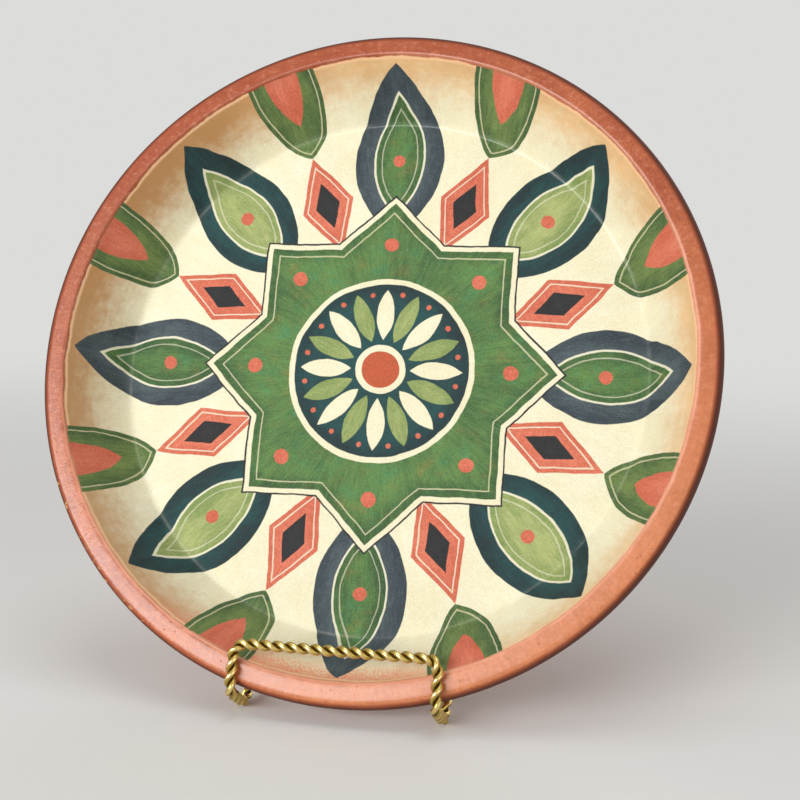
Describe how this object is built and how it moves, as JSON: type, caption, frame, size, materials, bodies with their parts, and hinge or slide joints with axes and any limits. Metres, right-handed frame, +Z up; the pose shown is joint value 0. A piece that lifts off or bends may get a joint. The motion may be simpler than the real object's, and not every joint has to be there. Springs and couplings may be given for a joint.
{
  "type": "hand painted plate on a folding wire stand",
  "caption": "Round hand painted clay plate with a steep wall and a terracotta rim, leaning on a folding display stand of twisted brass wire with a hinged rear leg.",
  "frame": {"origin": "on the table, under the middle of the whole object", "axes": "+Z up, the painted face towards -Y, +X to the right as seen from the front"},
  "size_m": [0.3, 0.1389, 0.2864],
  "materials": {
    "painted_clay": "fired clay, painted by hand and sealed with a satin varnish; bare terracotta on the back",
    "brass_wire": "bright drawn wire, twisted in pairs, darker in the grooves",
    "brass_fittings": "plain brass, lightly polished"
  },
  "bodies": {
    "front_frame": {"front_wire_a": "brass_wire", "front_wire_b": "brass_wire", "hinge_lug_left": "brass_fittings", "hinge_lug_right": "brass_fittings", "hinge_rod": "brass_fittings"},
    "rear_leg": {"rear_wire_a": "brass_wire", "rear_wire_b": "brass_wire", "rear_knuckle_left": "brass_fittings", "rear_knuckle_right": "brass_fittings", "stop_bar": "brass_fittings"},
    "plate": {"plate": "painted_clay"}
  },
  "joints": [
    {"name": "rear_leg_fold", "type": "hinge", "parent": "front_frame", "child": "rear_leg", "pos_m": [0, 0.02192, 0.09506], "axis": [-1, 0, 0], "range_deg": [0, 33.8]},
    {"name": "plate_lift", "type": "slide", "parent": "front_frame", "child": "plate", "axis": [0, 0.3714, 0.9285], "range_m": [0, 0.06]}
  ]
}
